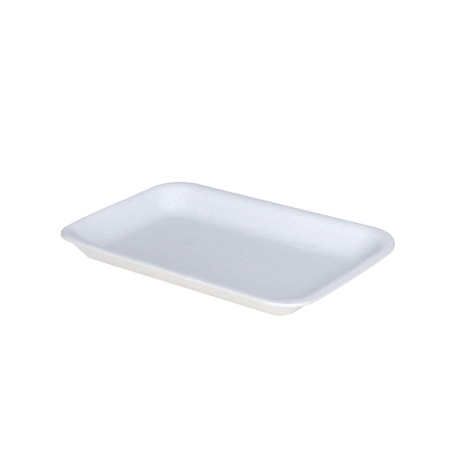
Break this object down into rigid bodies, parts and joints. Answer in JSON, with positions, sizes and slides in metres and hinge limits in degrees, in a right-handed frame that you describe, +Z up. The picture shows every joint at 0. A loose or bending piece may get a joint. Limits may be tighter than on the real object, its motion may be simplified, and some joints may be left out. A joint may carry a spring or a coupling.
{
  "type": "foam meat tray",
  "caption": "Shallow rectangular foam tray with a flat floor, sloping walls, rounded corners and a level lip, for raw meat under film.",
  "frame": {"origin": "middle of the flat foot's underside, the level the tray stands on", "axes": "+X along the tray's length, +Y across its width, +Z up out of the open top"},
  "size_m": [0.21, 0.148, 0.0225],
  "materials": {
    "foam": "matt white polystyrene foam skin, faintly pebbled"
  },
  "bodies": {
    "root": {"foam_tray": "foam"}
  },
  "joints": []
}
